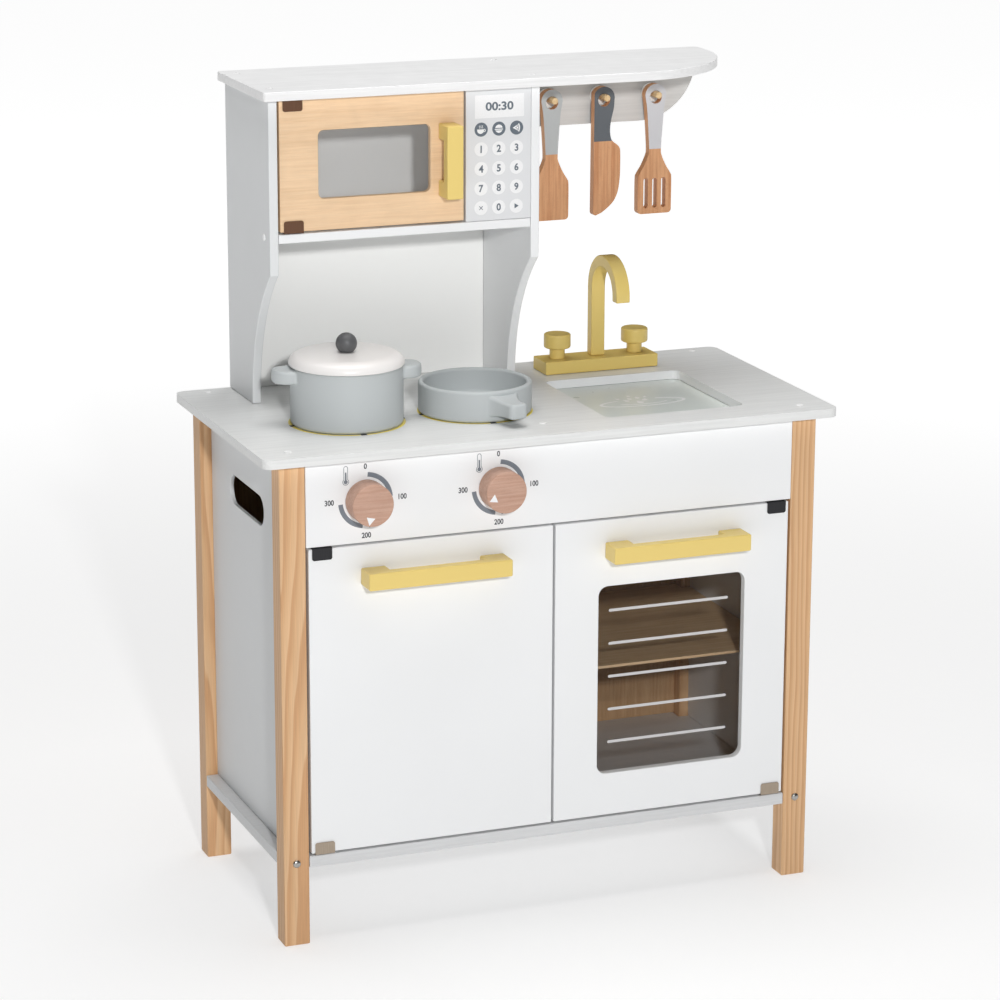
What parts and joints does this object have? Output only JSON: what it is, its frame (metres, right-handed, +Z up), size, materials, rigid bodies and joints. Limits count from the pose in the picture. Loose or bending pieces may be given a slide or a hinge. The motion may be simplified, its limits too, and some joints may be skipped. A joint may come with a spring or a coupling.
{
  "type": "toy kitchen",
  "caption": "Wooden toy kitchen with cupboard, oven, hob, sink and tap, toy microwave, top shelf, hook rail with utensils, pot, lid and pan.",
  "frame": {"origin": "on the floor, under the middle of the object's bounding box", "axes": "+Z up, +X to the right as seen from the front, -Y towards the child who plays at it"},
  "size_m": [0.6, 0.3122, 0.82],
  "materials": {
    "white_paint": "satin white paint on board",
    "worktop_grey": "satin light grey paint on board, rounded edges",
    "base_grey": "matt light grey paint on board",
    "pine": "clear-lacquered pine with straight grain",
    "plywood": "unpainted plywood",
    "maple_veneer": "clear-lacquered light veneer",
    "beech": "oiled beech with painted handles",
    "knob_beech": "bare turned beech with a white pointer",
    "yellow_paint": "satin pastel yellow paint on wood",
    "pot_grey": "satin blue-grey paint on turned wood",
    "lid_white": "satin white paint on turned wood",
    "dark_grey": "satin dark grey",
    "steel": "plated steel",
    "smoked_pane": "smoked acrylic sheet with printed bars",
    "clear_pane": "grey acrylic sheet",
    "keypad_grey": "light grey paint with a printed keypad",
    "sink_tray": "grey-green gloss paint with a printed splash",
    "peg_wood": "white-painted rosette with a bare dowel"
  },
  "bodies": {
    "cabinet": {"leg_front_left": "pine", "leg_front_right": "pine", "leg_rear_left": "pine", "leg_rear_right": "pine", "leg_screw_left": "steel", "leg_screw_right": "steel", "base_board": "base_grey", "side_panel_left": "white_paint", "side_panel_right": "white_paint", "cabinet_back": "plywood", "centre_divider": "base_grey", "oven_shelf": "pine", "fascia": "white_paint", "worktop": "worktop_grey", "sink_tray": "sink_tray", "cupboard_catch": "dark_grey", "oven_catch": "dark_grey", "microwave_catch": "dark_grey", "tap_base": "yellow_paint", "tap_spout": "yellow_paint", "hutch_side_left": "white_paint", "hutch_side_right": "white_paint", "microwave_shelf": "white_paint", "hutch_back": "white_paint", "keypad_panel": "keypad_grey", "top_shelf": "white_paint", "hook_rail": "base_grey", "hook_peg_left": "peg_wood", "hook_peg_middle": "peg_wood", "hook_peg_right": "peg_wood"},
    "cupboard_door": {"cupboard_door": "white_paint", "cupboard_handle": "yellow_paint", "cupboard_hinge_lower": "steel", "cupboard_hinge_upper": "steel"},
    "oven_door": {"oven_door": "white_paint", "oven_window": "smoked_pane", "oven_handle": "yellow_paint", "oven_hinge_lower": "steel", "oven_hinge_upper": "steel"},
    "microwave_door": {"microwave_door": "maple_veneer", "microwave_window": "clear_pane", "microwave_handle": "yellow_paint", "microwave_hinge_lower": "steel", "microwave_hinge_upper": "steel"},
    "oven_knob_left": {"oven_knob_left": "knob_beech", "knob_bolt_left": "steel"},
    "oven_knob_right": {"oven_knob_right": "knob_beech", "knob_bolt_right": "steel"},
    "tap_knob_left": {"tap_knob_left": "yellow_paint"},
    "tap_knob_right": {"tap_knob_right": "yellow_paint"},
    "pot": {"pot": "pot_grey"},
    "pot_lid": {"pot_lid": "lid_white", "pot_lid_knob": "dark_grey"},
    "pan": {"pan": "pot_grey"},
    "spatula": {"toy_spatula": "beech"},
    "knife": {"toy_knife": "beech"},
    "turner": {"toy_turner": "beech"}
  },
  "joints": [
    {"name": "cupboard_door_hinge", "type": "hinge", "parent": "cabinet", "child": "cupboard_door", "pos_m": [-0.243, -0.12385, 0.093], "axis": [0, 0, -1], "range_deg": [0, 110]},
    {"name": "oven_door_hinge", "type": "hinge", "parent": "cabinet", "child": "oven_door", "pos_m": [0.243, -0.12385, 0.093], "axis": [0, 0, 1], "range_deg": [0, 110]},
    {"name": "microwave_door_hinge", "type": "hinge", "parent": "cabinet", "child": "microwave_door", "pos_m": [-0.2215, 0.01865, 0.68], "axis": [0, 0, -1], "range_deg": [0, 110]},
    {"name": "oven_knob_left_turn", "type": "hinge", "parent": "cabinet", "child": "oven_knob_left", "pos_m": [-0.19512, -0.12985, 0.445], "axis": [0, -1, 0], "continuous": true},
    {"name": "oven_knob_right_turn", "type": "hinge", "parent": "cabinet", "child": "oven_knob_right", "pos_m": [-0.05912, -0.12985, 0.445], "axis": [0, -1, 0], "continuous": true},
    {"name": "tap_knob_left_turn", "type": "hinge", "parent": "cabinet", "child": "tap_knob_left", "pos_m": [0.0985, 0.10715, 0.5098], "axis": [0, 0, 1], "continuous": true},
    {"name": "tap_knob_right_turn", "type": "hinge", "parent": "cabinet", "child": "tap_knob_right", "pos_m": [0.1855, 0.10715, 0.5098], "axis": [0, 0, 1], "continuous": true},
    {"name": "pot_lift", "type": "slide", "parent": "cabinet", "child": "pot", "axis": [0, 0, 1], "range_m": [0, 0.05]},
    {"name": "pot_lid_lift", "type": "slide", "parent": "pot", "child": "pot_lid", "axis": [0, 0, 1], "range_m": [0, 0.05]},
    {"name": "pan_lift", "type": "slide", "parent": "cabinet", "child": "pan", "axis": [0, 0, 1], "range_m": [0, 0.06]},
    {"name": "spatula_off_peg", "type": "slide", "parent": "cabinet", "child": "spatula", "axis": [0, -1, 0], "range_m": [0, 0.04]},
    {"name": "knife_off_peg", "type": "slide", "parent": "cabinet", "child": "knife", "axis": [0, -1, 0], "range_m": [0, 0.04]},
    {"name": "turner_off_peg", "type": "slide", "parent": "cabinet", "child": "turner", "axis": [0, -1, 0], "range_m": [0, 0.04]}
  ]
}
